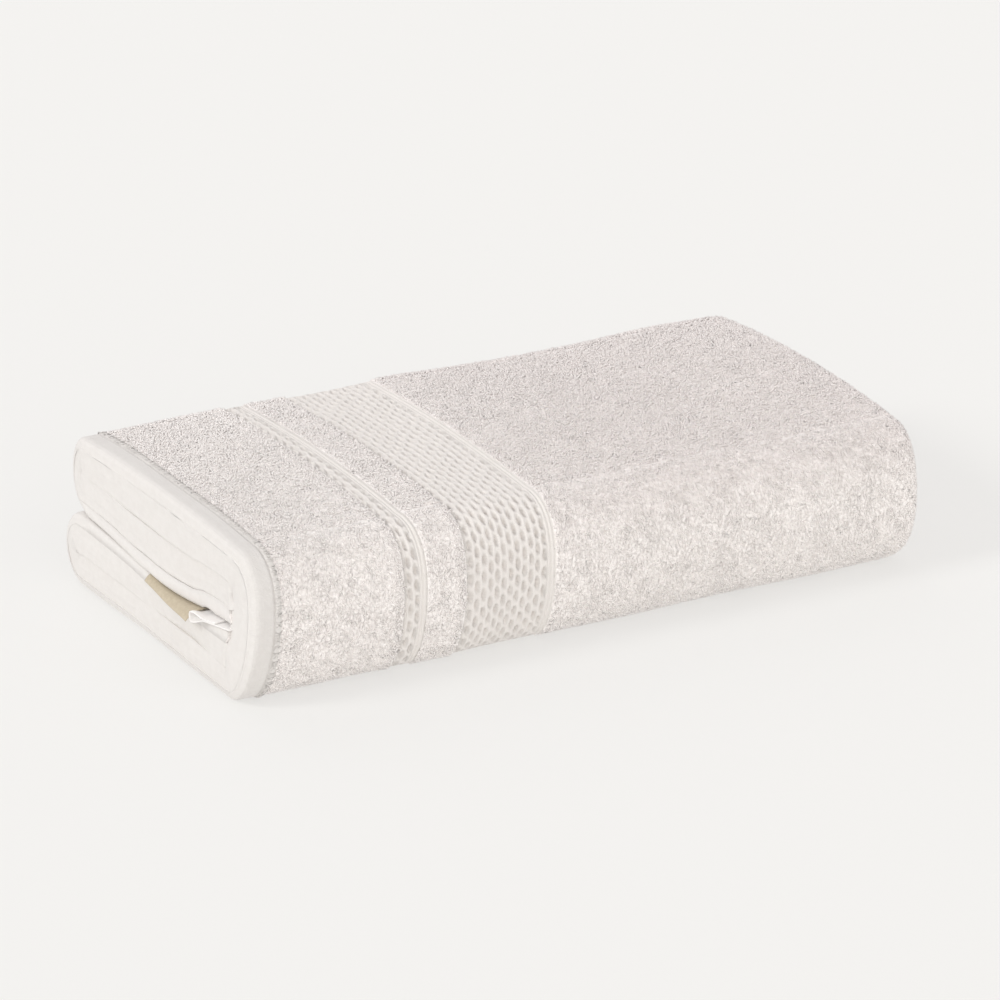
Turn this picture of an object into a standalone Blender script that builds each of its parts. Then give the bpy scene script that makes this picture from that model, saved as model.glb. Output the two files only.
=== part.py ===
"""A folded terry hand towel: the sheet of cloth, its woven label and its care label.

Units are metres. X runs along the folded towel from its hem end to its fold end, Y from its near
side, the big fold, to its far side, the two small folds, and Z up from the surface it lies on.

The cloth is one flat sheet. It is folded across in three, then both long sides are folded to the
middle, then the whole is folded in half, which leaves four packs of three plies, one on another.
A point of the cloth is placed in two steps. fold_across() tells where the point lies along the
folded towel and how many plies deep it is in its pack. pack_point() tells where that depth is
round the folded section, between the pack's outer face and its inner face.
"""

import math

import bmesh
import bpy
from mathutils import Vector

# The cut cloth.
CUT_LENGTH = 0.700

# The folded towel.
LENGTH = 0.237
WIDTH = 0.127
HEIGHT = 0.0478
BORDER_RISE, BORDER_RISE_X = 0.0014, (-0.012, 0.012)  # the bordered half stands a little higher
HEM_END_RISE, HEM_END_RISE_REACH = 0.0008, 0.030  # and its hem end higher still
CROWN = 0.0024  # how far the middle of the top rises over its sides
PLIES = 3  # plies in a pack

# The folds of the section, as half axes of squarish ellipses.
NEAR_FOLD_DEPTH = 0.0164
NEAR_WALL = 0.0112  # the pack is pressed a little thinner where it turns at the near fold
NEAR_SQUARENESS = 2.2  # 2 is an ellipse, more is squarer
FAR_FOLD_DEPTH = 0.0112
FAR_FOLD_CORE = 0.0006
FAR_SQUARENESS = 2.0

# Where the side edges of the cloth end, behind the near fold, on the pack's outer and inner face.
SIDE_EDGE_OUTER_Y = -0.0490
SIDE_EDGE_INNER_Y = -0.0468

# Gaps.
PLY_GAP = 0.0005  # between two plies of a pack, before the pack is pressed
PACK_GAP = 0.0006  # between two packs
LABEL_GAP = 0.0004  # between the cloth and a label

# The slot between the upper and lower half sinks towards the labels at the hem end.
SLOT_DIP = 0.0040
SLOT_DIP_Y, SLOT_DIP_SPREAD = -0.0100, 0.0320
SLOT_DIP_REACH = 0.0900  # along X from the hem end

# The ends.
FOLD_END_ROUNDING = 0.0110  # the outer face draws in over this length at the fold end
FOLD_END_DRAW_IN = 0.0025
FOLD_END_LIFT = 0.0036  # and its lower face lifts
HEM_END_ROUNDING = 0.0030
HEM_END_DRAW_IN = 0.0006
INNER_FOLD_INSET = 0.0007  # the fold between two plies stops short of the hem edge
HEM_END_LEAN = 0.0019  # the foot of the hem end stands out past its top
HEM_END_LEAN_PIVOT = 0.75  # share of the height at which it doesn't lean
FAR_FOOT_LEAN = 0.0016  # more lean at the far side, below this share of the height:
FAR_FOOT_TOP = 0.60
HEM_END_LEAN_REACH = 0.030

# The lie of the cloth: slow waves in its outer face and in the lines across it.
TOP_WAVE, TOP_WAVE_LENGTH, TOP_WAVE_SLANT = 0.00035, 0.083, 0.3
NEAR_WAVE, NEAR_WAVE_LENGTH, NEAR_WAVE_PHASE = 0.00050, 0.067, 1.0
LINE_WAVE, LINE_WAVE_LENGTH, LINE_WAVE_FADE = 0.0009, 0.105, 0.030
SECTION_PATH = 0.500  # the cloth's length round the section

# Zones of the cloth without pile, by distance from the outer hem edge, and how far each of their
# faces lies below the pile: (name, start, end, recess). The other end is hidden inside the folds.
PLAIN_ZONES = (
    ("hem", 0.0000, 0.0072, 0.00035),
    ("hem seam", 0.0078, 0.0091, 0.00075),
    ("narrow border", 0.0512, 0.0589, 0.00060),
    ("wide border", 0.0726, 0.1032, 0.00060),
)
ZONE_RAMP = 0.0007

# How finely the section is stepped, by segment.
SECTION_STEPS = (
    ("upper far fold", 7),
    ("top", 5),
    ("near fold", 11),
    ("bottom", 3),
    ("lower far fold", 7),
)
# The flaps are stepped at these places along Y, closer together beside the labels.
FLAP_STEPS_Y = (-0.0436, -0.0370, -0.0312, -0.0240, -0.0150, -0.0060, 0.0040, 0.0150, 0.0310)
# How finely the cloth is stepped lengthwise, beside the zones' own edges.
PLAIN_STEPS = (0.020, 0.036, 0.0880, 0.126, 0.150, 0.174, 0.198, 0.214)
ACROSS_FOLD_STEPS = 6
INNER_RUN_STEPS = 5
MIDDLE_RUN_STEPS = 4
EDGE_THINNING = 0.45  # share of the thickness left at an edge of the cloth
EDGE_ROUNDING = 0.0012

# The woven label: (at its near end, at its far end).
LABEL_THICKNESS = 0.0010
LABEL_INSIDE = 0.0090  # how far the labels reach into the slot
WOVEN_LABEL_Y = (-0.0290, 0.0045)
WOVEN_LABEL_OUT = (0.0053, 0.0024)  # how far it stands out of the slot
WOVEN_LABEL_DROP = (0.0028, 0.0019)
WOVEN_LABEL_STEPS = (6, 8)  # along Y, along X

# The care label, folded once, its fold towards the woven label.
CARE_LABEL_FOLD_Y = -0.0313
CARE_LABEL_UPPER_END_Y = -0.0430
CARE_LABEL_LOWER_END_Y = -0.0500
CARE_LABEL_HALF_HEIGHT = 0.0012  # from its middle to the middle of a layer
CARE_LABEL_OUT = (0.0046, 0.0012)  # at its fold, at its lower end
CARE_LABEL_STEPS = 6

# The slot stands open round the labels, then closes over these lengths.
LABEL_SLOT_REACH, LABEL_SLOT_CLOSING = 0.0110, 0.0160  # along X
LABEL_SLOT_MARGIN = 0.0010  # along Y, past a label
WOVEN_SLOT_CLOSING, CARE_SLOT_CLOSING = 0.0110, 0.0070  # along Y
SLOT_END_DROP = 0.0014  # its roof comes down behind the care label's upper layer

HEM_X = -LENGTH / 2
FOLD_X = LENGTH / 2
NEAR_CENTRE_Y = -WIDTH / 2 + NEAR_FOLD_DEPTH
FAR_CENTRE_Y = WIDTH / 2 - FAR_FOLD_DEPTH
PLY = (HEIGHT + CROWN / 2) / (4 * PLIES)


def blend(a, b, share):
    return a + (b - a) * share


def smooth_step(start, end, value):
    """0 before start and 1 past end, with a smooth rise between them."""
    share = min(1.0, max(0.0, (value - start) / (end - start)))
    return share * share * (3 - 2 * share)


def rounding(distance, reach):
    """1 at an end and 0 from reach inwards, round like a quarter of a circle."""
    share = min(1.0, max(0.0, 1 - distance / reach))
    return 1 - math.sqrt(1 - share * share)


def fold_arc(angle, across, up, squareness):
    """A point of a squarish ellipse: angle runs from -90 degrees, below, to 90, above."""
    power = 2 / squareness
    cosine, sine = math.cos(angle), math.sin(angle)
    return Vector((across * abs(cosine) ** power, math.copysign(up * abs(sine) ** power, sine)))


# The outline of the section at a place along the towel.


def draw_in(x):
    """How far the outer face draws in at the towel's ends."""
    fold_end = FOLD_END_DRAW_IN * rounding(FOLD_X - x, FOLD_END_ROUNDING)
    hem_end = HEM_END_DRAW_IN * rounding(x - HEM_X, HEM_END_ROUNDING)
    return fold_end + hem_end


def foot_height(x):
    return FOLD_END_LIFT * rounding(FOLD_X - x, FOLD_END_ROUNDING)


def top_height(x, y):
    span = (y - NEAR_CENTRE_Y) / (FAR_CENTRE_Y - NEAR_CENTRE_Y)
    crown = CROWN * max(0.0, 4 * span * (1 - span))
    rise = HEM_END_RISE * math.exp((HEM_X - x) / HEM_END_RISE_REACH)
    rise += BORDER_RISE * (1 - smooth_step(*BORDER_RISE_X, x))
    wave = TOP_WAVE * math.sin(2 * math.pi * (x + TOP_WAVE_SLANT * y) / TOP_WAVE_LENGTH)
    return HEIGHT + crown + rise + wave - draw_in(x)


def slot_height(x, y):
    dip = SLOT_DIP * math.exp(-(((y - SLOT_DIP_Y) / SLOT_DIP_SPREAD) ** 2))
    reach = 1 - smooth_step(0, SLOT_DIP_REACH, x - HEM_X)
    return (HEIGHT + CROWN) / 2 - dip * reach


def past_labels(x):
    """0 as far as the slot stands open for the labels, 1 where it has closed."""
    return smooth_step(LABEL_SLOT_REACH, LABEL_SLOT_REACH + LABEL_SLOT_CLOSING, x - HEM_X)


def slot_half(x, y):
    """Half the height of the slot, which opens round the labels."""
    woven = LABEL_THICKNESS / 2 + LABEL_GAP
    care = CARE_LABEL_HALF_HEIGHT + woven
    woven_y = WOVEN_LABEL_Y[1] + LABEL_SLOT_MARGIN
    care_y = CARE_LABEL_FOLD_Y + LABEL_SLOT_MARGIN
    at_woven = smooth_step(woven_y + WOVEN_SLOT_CLOSING, woven_y, y)
    at_care = smooth_step(care_y + CARE_SLOT_CLOSING, care_y, y)
    opened = blend(blend(PACK_GAP / 2, woven, at_woven), care, at_care)
    return blend(opened, PACK_GAP / 2, past_labels(x))


def slot_roof(x, y):
    drop_start = CARE_LABEL_UPPER_END_Y - LABEL_SLOT_MARGIN
    drop = SLOT_END_DROP * smooth_step(drop_start, SIDE_EDGE_OUTER_Y, y)
    return slot_height(x, y) + slot_half(x, y) - drop * (1 - past_labels(x))


def slot_floor(x, y):
    return slot_height(x, y) - slot_half(x, y)


def upper_middle(x, y):
    return (top_height(x, y) + slot_roof(x, y)) / 2


def lower_middle(x, y):
    return (foot_height(x) + slot_floor(x, y)) / 2


def near_axis(x):
    """How far the near fold's outer face is in front of its centre."""
    wave = NEAR_WAVE * math.sin(2 * math.pi * x / NEAR_WAVE_LENGTH + NEAR_WAVE_PHASE)
    return NEAR_FOLD_DEPTH + wave - draw_in(x)


# Each segment of the section gives the pack's outer and inner face at a share of its way.


def upper_flap(x, share):
    outer_y = blend(SIDE_EDGE_OUTER_Y, FAR_CENTRE_Y, share)
    inner_y = blend(SIDE_EDGE_INNER_Y, FAR_CENTRE_Y, share)
    outer = Vector((outer_y, slot_roof(x, outer_y)))
    return outer, Vector((inner_y, upper_middle(x, inner_y) - PACK_GAP / 2))


def far_fold(x, share, low, high):
    angle = blend(-math.pi / 2, math.pi / 2, share)
    centre = Vector((FAR_CENTRE_Y, (high + low) / 2))
    outer = fold_arc(angle, FAR_FOLD_DEPTH - draw_in(x), (high - low) / 2, FAR_SQUARENESS)
    core = fold_arc(angle, FAR_FOLD_CORE, PACK_GAP / 2, FAR_SQUARENESS)
    return centre + outer, centre + core


def upper_far_fold(x, share):
    return far_fold(x, share, slot_roof(x, FAR_CENTRE_Y), top_height(x, FAR_CENTRE_Y))


def top(x, share):
    y = blend(FAR_CENTRE_Y, NEAR_CENTRE_Y, share)
    return Vector((y, top_height(x, y))), Vector((y, upper_middle(x, y) + PACK_GAP / 2))


def near_fold(x, share):
    angle = blend(math.pi / 2, -math.pi / 2, share)
    y = NEAR_CENTRE_Y
    low, high = foot_height(x), top_height(x, y)
    core_low = lower_middle(x, y) - PACK_GAP / 2
    core_high = upper_middle(x, y) + PACK_GAP / 2
    outer = fold_arc(angle, -near_axis(x), (high - low) / 2, NEAR_SQUARENESS)
    core_depth = NEAR_WALL - near_axis(x)
    core = fold_arc(angle, core_depth, (core_high - core_low) / 2, NEAR_SQUARENESS)
    outer += Vector((y, (high + low) / 2))
    return outer, core + Vector((y, (core_high + core_low) / 2))


def bottom(x, share):
    y = blend(NEAR_CENTRE_Y, FAR_CENTRE_Y, share)
    return Vector((y, foot_height(x))), Vector((y, lower_middle(x, y) - PACK_GAP / 2))


def lower_far_fold(x, share):
    return far_fold(x, share, foot_height(x), slot_floor(x, FAR_CENTRE_Y))


def lower_flap(x, share):
    outer_y = blend(FAR_CENTRE_Y, SIDE_EDGE_OUTER_Y, share)
    inner_y = blend(FAR_CENTRE_Y, SIDE_EDGE_INNER_Y, share)
    outer = Vector((outer_y, slot_floor(x, outer_y)))
    return outer, Vector((inner_y, lower_middle(x, inner_y) + PACK_GAP / 2))


SEGMENTS = {
    "upper flap": upper_flap,
    "upper far fold": upper_far_fold,
    "top": top,
    "near fold": near_fold,
    "bottom": bottom,
    "lower far fold": lower_far_fold,
    "lower flap": lower_flap,
}


def section_stations():
    """(segment, share) for each station round the section, with one more beside each edge."""
    flap_y = (SIDE_EDGE_OUTER_Y, SIDE_EDGE_OUTER_Y + EDGE_ROUNDING, *FLAP_STEPS_Y, FAR_CENTRE_Y)
    flap = [(y - SIDE_EDGE_OUTER_Y) / (FAR_CENTRE_Y - SIDE_EDGE_OUTER_Y) for y in flap_y]
    stations = [("upper flap", share) for share in flap]
    for name, steps in SECTION_STEPS:
        stations += [(name, i / steps) for i in range(1, steps + 1)]
    return stations + [("lower flap", 1 - share) for share in reversed(flap[:-1])]


def pack_point(x, station, depth):
    """The place round the section of a point that lies depth plies below the pack's outer face."""
    name, share = station
    outer, inner = SEGMENTS[name](x, share)
    return outer.lerp(inner, depth / PLIES)


# The fold across in three: the outer ply turns at the fold end into the inner ply, and that one
# turns at the hem end into the middle ply. Radii are those of the cloth's middle.

OUTER_PLY, MIDDLE_PLY, INNER_PLY = 0.5, 1.5, 2.5
FOLD_END_RADIUS = PLY
HEM_END_RADIUS = PLY / 2
FOLD_END_CENTRE_X = FOLD_X - FOLD_END_RADIUS - PLY / 2
HEM_END_CENTRE_X = HEM_X + INNER_FOLD_INSET + HEM_END_RADIUS + PLY / 2
OUTER_RUN = FOLD_END_CENTRE_X - HEM_X
INNER_RUN = FOLD_END_CENTRE_X - HEM_END_CENTRE_X
FOLD_END_RUN = math.pi * FOLD_END_RADIUS
HEM_END_RUN = math.pi * HEM_END_RADIUS
INNER_START = OUTER_RUN + FOLD_END_RUN
HEM_FOLD_START = INNER_START + INNER_RUN
MIDDLE_START = HEM_FOLD_START + HEM_END_RUN


def fold_across(v):
    """(x, depth, normal x, normal depth) of the cloth's middle at v from the outer hem edge."""
    if v <= OUTER_RUN:
        return HEM_X + v, OUTER_PLY, 0.0, -1.0
    if v < INNER_START:
        turn = (v - OUTER_RUN) / FOLD_END_RADIUS
        x = FOLD_END_CENTRE_X + FOLD_END_RADIUS * math.sin(turn)
        return x, MIDDLE_PLY - math.cos(turn), math.sin(turn), -math.cos(turn)
    if v <= HEM_FOLD_START:
        return FOLD_END_CENTRE_X - (v - INNER_START), INNER_PLY, 0.0, 1.0
    if v < MIDDLE_START:
        turn = (v - HEM_FOLD_START) / HEM_END_RADIUS
        x = HEM_END_CENTRE_X - HEM_END_RADIUS * math.sin(turn)
        depth = (MIDDLE_PLY + INNER_PLY) / 2 + math.cos(turn) / 2
        return x, depth, -math.sin(turn), math.cos(turn)
    return HEM_END_CENTRE_X + (v - MIDDLE_START), MIDDLE_PLY, 0.0, -1.0


def zone_edges():
    """Distances from the outer hem edge at which the thickness changes."""
    edges = [EDGE_ROUNDING]
    for _, start, end, _ in PLAIN_ZONES:
        if start > 0:
            edges += [start - ZONE_RAMP, start]
        edges += [end, end + ZONE_RAMP]
    return edges


def length_stations():
    """Distances along the cloth at which it is stepped, from one hem edge to the other."""
    edges = zone_edges()
    stations = [0.0, *edges, *PLAIN_STEPS]
    folds = ((OUTER_RUN, FOLD_END_RUN), (HEM_FOLD_START, HEM_END_RUN))
    for start, run in folds:
        stations += [start + run * i / ACROSS_FOLD_STEPS for i in range(ACROSS_FOLD_STEPS + 1)]
    stations += [INNER_START + INNER_RUN * i / INNER_RUN_STEPS for i in range(1, INNER_RUN_STEPS)]
    middle_run = CUT_LENGTH - MIDDLE_START
    stations += [MIDDLE_START + middle_run * i / MIDDLE_RUN_STEPS for i in range(1, MIDDLE_RUN_STEPS)]
    stations += [CUT_LENGTH - EDGE_ROUNDING, CUT_LENGTH]
    return sorted(stations)


def recess(v):
    """How far both faces lie below the pile at v along the cloth."""
    depth = 0.0
    for _, start, end, zone_depth in PLAIN_ZONES:
        into = smooth_step(start - ZONE_RAMP, start, v) if start > 0 else 1.0
        out_of = smooth_step(end, end + ZONE_RAMP, v)
        depth = max(depth, zone_depth * into * (1 - out_of))
    return depth


def stray(x, y, z, path_share):
    """How far a point strays along X: the lines across wave, and the hem end leans outwards."""
    wave = LINE_WAVE * math.sin(2 * math.pi * path_share * SECTION_PATH / LINE_WAVE_LENGTH)
    wave *= smooth_step(FOLD_X, FOLD_X - LINE_WAVE_FADE, x)
    far_foot = smooth_step(FAR_FOOT_TOP, 0, z / HEIGHT) * smooth_step(0, FAR_CENTRE_Y, y)
    lean = HEM_END_LEAN * (z / HEIGHT - HEM_END_LEAN_PIVOT) - FAR_FOOT_LEAN * far_foot
    return wave + lean * smooth_step(HEM_END_LEAN_REACH, 0, x - HEM_X)


def towel_faces():
    """The two faces of the cloth as grids of points: rows round the section, columns lengthwise."""
    rows, columns = section_stations(), length_stations()
    grids = {1: [], -1: []}
    for side, grid in grids.items():
        for i, station in enumerate(rows):
            grid.append([])
            for j, v in enumerate(columns):
                x, depth, normal_x, normal_depth = fold_across(v)
                half = (PLY - PLY_GAP) / 2 - recess(v)
                if i in (0, len(rows) - 1) or j in (0, len(columns) - 1):
                    half *= EDGE_THINNING
                x += side * half * normal_x
                y, z = pack_point(x, station, depth + side * half / PLY * normal_depth)
                grid[-1].append((x + stray(x, y, z, i / (len(rows) - 1)), y, z))
    return grids[1], grids[-1]


def closed_sheet(front, back):
    """A closed mesh from the two faces of a sheet, each a grid of points, joined at the rim."""
    mesh = bmesh.new()
    rows, columns = len(front), len(front[0])
    front, back = ([[mesh.verts.new(p) for p in row] for row in face] for face in (front, back))
    for i in range(rows - 1):
        for j in range(columns - 1):
            mesh.faces.new((front[i][j], front[i][j + 1], front[i + 1][j + 1], front[i + 1][j]))
            mesh.faces.new((back[i][j], back[i + 1][j], back[i + 1][j + 1], back[i][j + 1]))
    rim = [(i, 0) for i in range(rows)] + [(rows - 1, j) for j in range(1, columns)]
    rim += [(i, columns - 1) for i in range(rows - 2, -1, -1)]
    rim += [(0, j) for j in range(columns - 2, 0, -1)]
    for (i, j), (k, m) in zip(rim, rim[1:] + rim[:1]):
        mesh.faces.new((front[i][j], front[k][m], back[k][m], back[i][j]))
    bmesh.ops.recalc_face_normals(mesh, faces=mesh.faces)
    return mesh


def woven_label_faces():
    """The label leaves the slot level, then drops a little past the hem end."""
    steps_y, steps_x = WOVEN_LABEL_STEPS
    grids = {1: [], -1: []}
    for side, grid in grids.items():
        for i in range(steps_y + 1):
            share = i / steps_y
            y = blend(*WOVEN_LABEL_Y, share)
            out, drop = blend(*WOVEN_LABEL_OUT, share), blend(*WOVEN_LABEL_DROP, share)
            grid.append([])
            for k in range(steps_x + 1):
                reach = blend(LABEL_INSIDE, -out, k / steps_x)
                fall = drop * (min(0.0, reach) / out) ** 2
                z = slot_height(HEM_X + reach, y) - fall + side * LABEL_THICKNESS / 2
                grid[-1].append((HEM_X + reach, y, z))
    return grids[1], grids[-1]


def care_label_path():
    """(y, height, normal y, normal height) of the label's middle, from its upper to its lower end."""
    shares = [i / CARE_LABEL_STEPS for i in range(CARE_LABEL_STEPS + 1)]
    path = []
    for share in shares:
        y = blend(CARE_LABEL_UPPER_END_Y, CARE_LABEL_FOLD_Y, share)
        path.append((y, CARE_LABEL_HALF_HEIGHT, 0.0, 1.0))
    for share in shares[1:-1]:
        across, up = math.sin(math.pi * share), math.cos(math.pi * share)
        y = CARE_LABEL_FOLD_Y + CARE_LABEL_HALF_HEIGHT * across
        path.append((y, CARE_LABEL_HALF_HEIGHT * up, across, up))
    for share in shares:
        y = blend(CARE_LABEL_FOLD_Y, CARE_LABEL_LOWER_END_Y, share)
        path.append((y, -CARE_LABEL_HALF_HEIGHT, 0.0, -1.0))
    return path


def care_label_faces():
    """Two layers and the round fold between them, each stepped along X."""
    grids = {1: [], -1: []}
    for side, grid in grids.items():
        for y, height, normal_y, normal_z in care_label_path():
            along = (y - CARE_LABEL_FOLD_Y) / (CARE_LABEL_LOWER_END_Y - CARE_LABEL_FOLD_Y)
            out = blend(*CARE_LABEL_OUT, max(0.0, along))
            grid.append([])
            for k in range(CARE_LABEL_STEPS + 1):
                x = HEM_X + blend(LABEL_INSIDE, -out, k / CARE_LABEL_STEPS)
                middle_y = y + side * LABEL_THICKNESS / 2 * normal_y
                z = slot_height(x, middle_y) + height + side * LABEL_THICKNESS / 2 * normal_z
                grid[-1].append((x, middle_y, z))
    return grids[1], grids[-1]


def cloth_material(name, colour, roughness):
    material = bpy.data.materials.new(name)
    material.use_nodes = True
    shader = material.node_tree.nodes["Principled BSDF"]
    shader.inputs["Base Color"].default_value = (*colour, 1.0)
    shader.inputs["Roughness"].default_value = roughness
    shader.inputs["Metallic"].default_value = 0.0
    return material


def add_sheet(name, faces, material):
    mesh = closed_sheet(*faces)
    data = bpy.data.meshes.new(name)
    mesh.to_mesh(data)
    mesh.free()
    data.materials.append(material)
    data.shade_smooth()
    data.set_sharp_from_angle(angle=math.radians(50))
    item = bpy.data.objects.new(name, data)
    bpy.context.scene.collection.objects.link(item)
    return item


def stand_on_origin(items):
    """Moves all pieces together, so that the origin is under the middle of their common box."""
    points = [vertex.co for item in items for vertex in item.data.vertices]
    middle = Vector([(min(axis) + max(axis)) / 2 for axis in zip(*points)])
    middle.z = min(point.z for point in points)
    for item in items:
        for vertex in item.data.vertices:
            vertex.co -= middle


def main():
    for item in list(bpy.data.objects):
        bpy.data.objects.remove(item)
    terry = cloth_material("white_terry", (0.86, 0.83, 0.80), 0.95)
    tan = cloth_material("tan_weave", (0.55, 0.43, 0.31), 0.8)
    satin = cloth_material("white_satin", (0.85, 0.84, 0.83), 0.6)
    items = [
        add_sheet("towel", towel_faces(), terry),
        add_sheet("woven_label", woven_label_faces(), tan),
        add_sheet("care_label", care_label_faces(), satin),
    ]
    stand_on_origin(items)


main()
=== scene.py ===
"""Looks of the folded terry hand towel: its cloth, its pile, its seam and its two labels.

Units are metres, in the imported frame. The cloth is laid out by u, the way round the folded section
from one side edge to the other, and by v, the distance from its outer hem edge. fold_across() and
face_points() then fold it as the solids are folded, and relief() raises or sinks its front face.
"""

import math

import bpy
import numpy as np
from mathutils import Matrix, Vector


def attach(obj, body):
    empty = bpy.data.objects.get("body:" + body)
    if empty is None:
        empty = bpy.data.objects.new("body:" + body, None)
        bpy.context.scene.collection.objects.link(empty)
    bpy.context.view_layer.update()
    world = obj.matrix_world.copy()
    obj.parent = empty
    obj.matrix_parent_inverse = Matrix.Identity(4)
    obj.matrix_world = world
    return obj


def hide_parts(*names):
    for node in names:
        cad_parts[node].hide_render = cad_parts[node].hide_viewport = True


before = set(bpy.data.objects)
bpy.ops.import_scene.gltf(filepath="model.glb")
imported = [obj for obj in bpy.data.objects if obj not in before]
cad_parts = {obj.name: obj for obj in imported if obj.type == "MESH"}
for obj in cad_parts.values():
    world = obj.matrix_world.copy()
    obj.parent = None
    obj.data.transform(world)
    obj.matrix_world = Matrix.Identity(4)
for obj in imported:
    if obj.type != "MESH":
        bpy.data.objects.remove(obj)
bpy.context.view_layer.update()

# The folded towel, as in the part's source.
CUT = (0.500, 0.700)
LENGTH, WIDTH, HEIGHT = 0.237, 0.127, 0.0478
BORDER_RISE, BORDER_RISE_X = 0.0014, (-0.012, 0.012)
HEM_END_RISE, HEM_END_RISE_REACH = 0.0008, 0.030
CROWN = 0.0024
PLIES = 3
NEAR_FOLD_DEPTH, NEAR_WALL, NEAR_SQUARENESS = 0.0164, 0.0112, 2.2
FAR_FOLD_DEPTH, FAR_FOLD_CORE, FAR_SQUARENESS = 0.0112, 0.0006, 2.0
SIDE_EDGE_OUTER_Y, SIDE_EDGE_INNER_Y = -0.0490, -0.0468
PLY_GAP, PACK_GAP, LABEL_GAP = 0.0005, 0.0006, 0.0004
SLOT_DIP, SLOT_DIP_Y, SLOT_DIP_SPREAD, SLOT_DIP_REACH = 0.0040, -0.0100, 0.0320, 0.0900
FOLD_END_ROUNDING, FOLD_END_DRAW_IN, FOLD_END_LIFT = 0.0110, 0.0025, 0.0036
HEM_END_ROUNDING, HEM_END_DRAW_IN = 0.0030, 0.0006
INNER_FOLD_INSET = 0.0007
HEM_END_LEAN, HEM_END_LEAN_PIVOT, HEM_END_LEAN_REACH = 0.0019, 0.75, 0.030
FAR_FOOT_LEAN, FAR_FOOT_TOP = 0.0016, 0.60
TOP_WAVE, TOP_WAVE_LENGTH, TOP_WAVE_SLANT = 0.00035, 0.083, 0.3
NEAR_WAVE, NEAR_WAVE_LENGTH, NEAR_WAVE_PHASE = 0.00050, 0.067, 1.0
LINE_WAVE, LINE_WAVE_LENGTH, LINE_WAVE_FADE = 0.0009, 0.105, 0.030
SECTION_PATH = 0.500
EDGE_STEP = 0.0012
FLAP_STEPS_Y = (-0.0436, -0.0370, -0.0312, -0.0240, -0.0150, -0.0060, 0.0040, 0.0150, 0.0310)
LABEL_THICKNESS, LABEL_INSIDE = 0.0010, 0.0090
WOVEN_LABEL_Y = (-0.0290, 0.0045)
WOVEN_LABEL_OUT, WOVEN_LABEL_DROP = (0.0053, 0.0024), (0.0028, 0.0019)
CARE_LABEL_FOLD_Y, CARE_LABEL_UPPER_END_Y, CARE_LABEL_LOWER_END_Y = -0.0313, -0.0430, -0.0500
CARE_LABEL_HALF_HEIGHT, CARE_LABEL_OUT = 0.0012, (0.0046, 0.0012)
LABEL_SLOT_REACH, LABEL_SLOT_CLOSING, LABEL_SLOT_MARGIN = 0.0110, 0.0160, 0.0010
WOVEN_SLOT_CLOSING, CARE_SLOT_CLOSING = 0.0110, 0.0070
SLOT_END_DROP = 0.0014
TO_FRAME = np.array((0.0027749, 0.0003022, -0.0002019))  # from the fold's own origin

HEM_X, FOLD_X = -LENGTH / 2, LENGTH / 2
NEAR_CENTRE_Y = -WIDTH / 2 + NEAR_FOLD_DEPTH
FAR_CENTRE_Y = WIDTH / 2 - FAR_FOLD_DEPTH
PLY = (HEIGHT + CROWN / 2) / (4 * PLIES)
PLY_HALF = (PLY - PLY_GAP) / 2


def blend(a, b, share):
    return a + (b - a) * share


def smooth_step(start, end, value):
    """0 before start and 1 past end, with a smooth rise between them."""
    share = np.clip((value - start) / (end - start), 0.0, 1.0)
    return share * share * (3 - 2 * share)


def rounding(distance, reach):
    """1 at an end and 0 from reach inwards, round like a quarter of a circle."""
    share = np.clip(1 - distance / reach, 0.0, 1.0)
    return 1 - np.sqrt(1 - share * share)


def unit(vectors):
    return vectors / np.maximum(np.linalg.norm(vectors, axis=-1, keepdims=True), 1e-12)


def grid_of(*parts):
    return np.stack(np.broadcast_arrays(*parts), -1)


def fold_arc(angle, across, up, squareness):
    power = 2 / squareness
    cosine, sine = math.cos(angle), math.sin(angle)
    return across * abs(cosine) ** power, math.copysign(abs(sine) ** power, sine) * up


# The outline of the section at a place along the towel, as in the part's source.


def draw_in(x):
    fold_end = FOLD_END_DRAW_IN * rounding(FOLD_X - x, FOLD_END_ROUNDING)
    return fold_end + HEM_END_DRAW_IN * rounding(x - HEM_X, HEM_END_ROUNDING)


def foot_height(x):
    return FOLD_END_LIFT * rounding(FOLD_X - x, FOLD_END_ROUNDING)


def top_height(x, y):
    span = (y - NEAR_CENTRE_Y) / (FAR_CENTRE_Y - NEAR_CENTRE_Y)
    crown = CROWN * np.maximum(0.0, 4 * span * (1 - span))
    rise = HEM_END_RISE * np.exp((HEM_X - x) / HEM_END_RISE_REACH)
    rise = rise + BORDER_RISE * (1 - smooth_step(*BORDER_RISE_X, x))
    wave = TOP_WAVE * np.sin(2 * math.pi * (x + TOP_WAVE_SLANT * y) / TOP_WAVE_LENGTH)
    return HEIGHT + crown + rise + wave - draw_in(x)


def slot_height(x, y):
    dip = SLOT_DIP * np.exp(-(((y - SLOT_DIP_Y) / SLOT_DIP_SPREAD) ** 2))
    return (HEIGHT + CROWN) / 2 - dip * (1 - smooth_step(0, SLOT_DIP_REACH, x - HEM_X))


def past_labels(x):
    return smooth_step(LABEL_SLOT_REACH, LABEL_SLOT_REACH + LABEL_SLOT_CLOSING, x - HEM_X)


def slot_half(x, y):
    woven = LABEL_THICKNESS / 2 + LABEL_GAP
    care = CARE_LABEL_HALF_HEIGHT + woven
    woven_y = WOVEN_LABEL_Y[1] + LABEL_SLOT_MARGIN
    care_y = CARE_LABEL_FOLD_Y + LABEL_SLOT_MARGIN
    at_woven = smooth_step(woven_y + WOVEN_SLOT_CLOSING, woven_y, y)
    at_care = smooth_step(care_y + CARE_SLOT_CLOSING, care_y, y)
    opened = blend(blend(PACK_GAP / 2, woven, at_woven), care, at_care)
    return blend(opened, PACK_GAP / 2, past_labels(x))


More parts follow.
